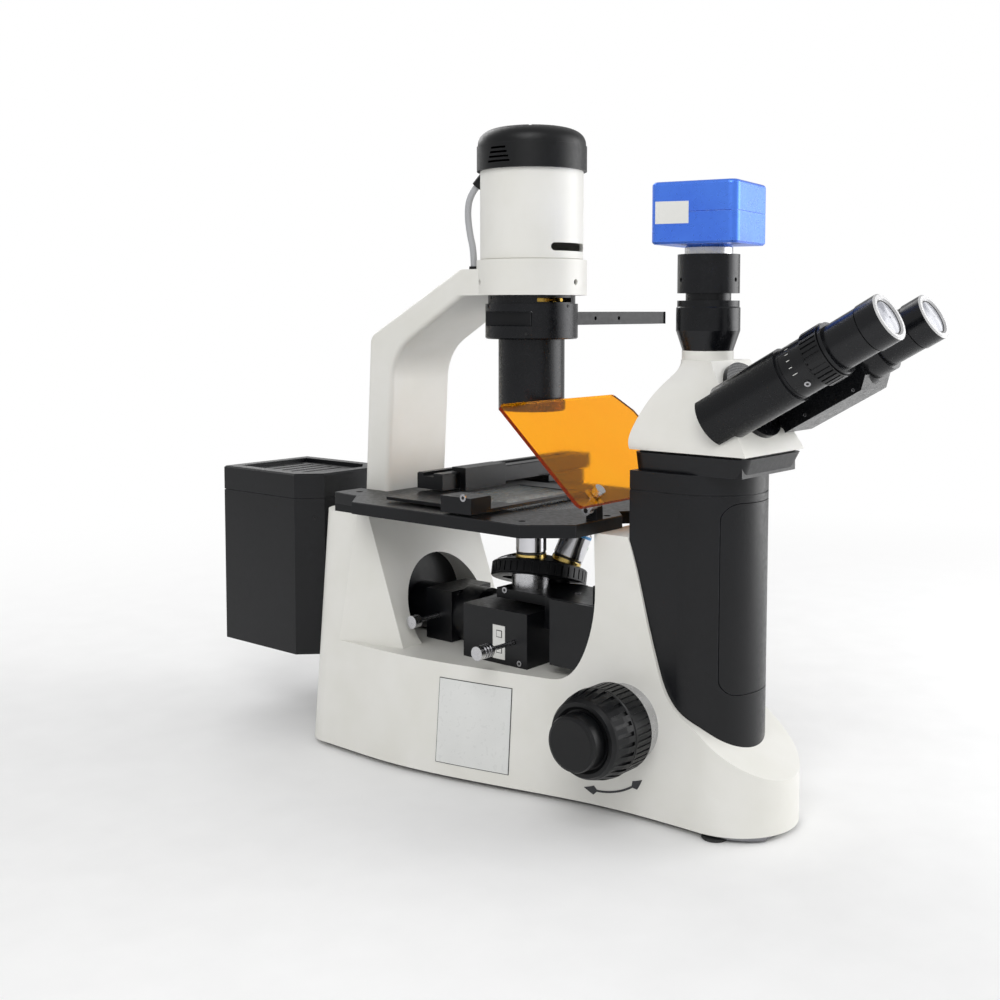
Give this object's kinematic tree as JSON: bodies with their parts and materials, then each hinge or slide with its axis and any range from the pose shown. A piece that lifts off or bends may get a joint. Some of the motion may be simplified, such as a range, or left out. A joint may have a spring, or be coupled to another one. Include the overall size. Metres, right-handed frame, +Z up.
{
  "type": "inverted microscope",
  "caption": "Inverted fluorescence microscope with rear lamphouse, tilted objective turret under a fixed stage, long-distance condenser, amber shield, trinocular head and camera",
  "frame": {"origin": "on the table under the middle of the whole footprint", "axes": "+X to the user's right, +Y to the rear lamphouse, +Z up"},
  "size_m": [0.2948, 0.685, 0.5373],
  "materials": {
    "white_paint": "warm white fine-textured enamel",
    "black_paint": "satin black enamel",
    "black_anodised": "black anodised, satin",
    "black_plastic": "satin black moulding",
    "blue_anodised": "bright blue anodised",
    "bright_steel": "turned bright",
    "chrome": "polished chrome",
    "brass": "lacquered brass",
    "amber": "clear amber sheet",
    "glass": "clear",
    "rubber": "black rubber",
    "plate_steel": "dull plated sheet"
  },
  "bodies": {
    "stand": {"base_body": "white_paint", "base_plate": "plate_steel", "rubber_feet": "rubber", "front_column": "black_paint", "column_front_panel": "black_paint", "column_collar": "black_paint", "head_housing": "white_paint", "pivot_flange": "black_anodised", "camera_adapter": "black_anodised", "c_mount_ring": "bright_steel", "camera_shells": "blue_anodised", "stage_plate": "black_anodised", "stage_fittings": "black_anodised", "stage_insert": "black_anodised", "arm_pillar": "white_paint", "condenser_tube": "black_anodised", "condenser_carrier": "black_anodised", "condenser_lenses": "glass", "lamp_housing": "white_paint", "lamp_cap": "black_plastic", "halogen_lamp": "glass", "lamp_lead": "rubber", "lead_glands": "black_plastic", "nosepiece_guide": "black_anodised", "side_covers": "black_paint", "filter_box": "black_paint", "epi_tubes": "black_paint", "lamphouse_body": "black_paint", "lamphouse_cover": "black_paint", "arc_lamp": "glass", "mirrors_and_prism": "glass", "focus_bearings": "bright_steel", "shield_bracket": "black_anodised"},
    "nosepiece": {"nosepiece_carrier": "black_paint", "focus_rack": "bright_steel", "graduated_ring": "bright_steel"},
    "turret": {"turret": "black_anodised", "objective_upright": "chrome", "objectives_parked": "chrome", "port_plug": "chrome"},
    "coarse_drive": {"coarse_knobs": "black_plastic", "pinion_shaft": "bright_steel"},
    "fine_drive": {"fine_knobs": "black_plastic"},
    "tension_control": {"tension_ring": "black_plastic"},
    "stage_carriage": {"stage_y_carriage": "black_anodised"},
    "holder": {"specimen_holder": "black_anodised", "holder_glass": "glass"},
    "stage_y_drive": {"stage_y_knob": "black_plastic"},
    "stage_x_drive": {"stage_x_knob": "black_plastic"},
    "phase_slide": {"phase_slider": "black_anodised"},
    "iris": {"aperture_lever": "brass"},
    "shield": {"amber_shield": "amber", "shield_clamps": "bright_steel"},
    "filter_slide": {"filter_slider": "bright_steel"},
    "diaphragm": {"diaphragm_rod": "bright_steel"},
    "left_tube": {"left_tube_housing": "black_anodised", "left_eyepiece": "black_anodised"},
    "diopter": {"diopter_ring": "black_anodised"},
    "right_tube": {"right_tube_housing": "black_anodised", "right_eyepiece": "black_anodised"}
  },
  "joints": [
    {"name": "nosepiece_lift", "type": "slide", "parent": "stand", "child": "nosepiece", "axis": [0, 0, 1], "range_m": [-0.002, 0.006]},
    {"name": "turret_turn", "type": "hinge", "parent": "nosepiece", "child": "turret", "pos_m": [-0.00832, 0.00392, 0.15923], "axis": [0.321, 0.1181, 0.9397], "continuous": true},
    {"name": "coarse_focus", "type": "hinge", "parent": "stand", "child": "coarse_drive", "pos_m": [-0.0286, -0.13554, 0.074], "axis": [1, 0, 0], "range_deg": [-20, 58]},
    {"name": "fine_focus", "type": "hinge", "parent": "coarse_drive", "child": "fine_drive", "pos_m": [-0.0286, -0.13554, 0.074], "axis": [1, 0, 0], "continuous": true},
    {"name": "focus_tension", "type": "hinge", "parent": "stand", "child": "tension_control", "pos_m": [-0.0286, -0.13554, 0.074], "axis": [1, 0, 0], "range_deg": [-60, 60]},
    {"name": "stage_front_rear", "type": "slide", "parent": "stand", "child": "stage_carriage", "axis": [0, 1, 0], "range_m": [-0.03, 0.028]},
    {"name": "stage_left_right", "type": "slide", "parent": "stage_carriage", "child": "holder", "axis": [1, 0, 0], "range_m": [-0.03, 0.03]},
    {"name": "stage_y_turn", "type": "hinge", "parent": "stage_carriage", "child": "stage_y_drive", "pos_m": [0.1094, 0.08046, 0.1959], "axis": [0, 0, 1], "range_deg": [-220, 220]},
    {"name": "stage_x_turn", "type": "hinge", "parent": "stage_carriage", "child": "stage_x_drive", "pos_m": [0.1094, 0.08046, 0.1759], "axis": [0, 0, 1], "range_deg": [-220, 220]},
    {"name": "phase_slide_push", "type": "slide", "parent": "stand", "child": "phase_slide", "axis": [1, 0, 0], "range_m": [-0.096, 0]},
    {"name": "iris_lever_turn", "type": "hinge", "parent": "stand", "child": "iris", "pos_m": [-0.0286, -0.00354, 0.3939], "axis": [0, 0, 1], "range_deg": [-24, 24]},
    {"name": "shield_tilt", "type": "hinge", "parent": "stand", "child": "shield", "pos_m": [-0.0286, -0.10252, 0.234], "axis": [1, 0, 0], "range_deg": [0, 45]},
    {"name": "filter_slide_push", "type": "slide", "parent": "stand", "child": "filter_slide", "axis": [1, 0, 0], "range_m": [0, 0.024]},
    {"name": "field_diaphragm_push", "type": "slide", "parent": "stand", "child": "diaphragm", "axis": [1, 0, 0], "range_m": [-0.004, 0.004]},
    {"name": "right_tube_swing", "type": "hinge", "parent": "stand", "child": "right_tube", "pos_m": [-0.0286, -0.2202, 0.32504], "axis": [0, -0.866, 0.5], "range_deg": [0, 50]},
    {"name": "left_tube_swing", "type": "hinge", "parent": "stand", "child": "left_tube", "pos_m": [-0.0286, -0.2202, 0.32504], "axis": [0, -0.866, 0.5], "range_deg": [-50, 0]},
    {"name": "diopter_turn", "type": "hinge", "parent": "left_tube", "child": "diopter", "pos_m": [-0.06553, -0.26676, 0.3444], "axis": [0, -0.866, 0.5], "range_deg": [-150, 150]}
  ],
  "couplings": [
    {"joint": "coarse_focus", "follows": "nosepiece_lift", "rad_per_m": 166.67},
    {"joint": "stage_y_turn", "follows": "stage_front_rear", "rad_per_m": 125},
    {"joint": "stage_x_turn", "follows": "stage_left_right", "rad_per_m": 125},
    {"joint": "left_tube_swing", "follows": "right_tube_swing", "ratio": -1}
  ]
}
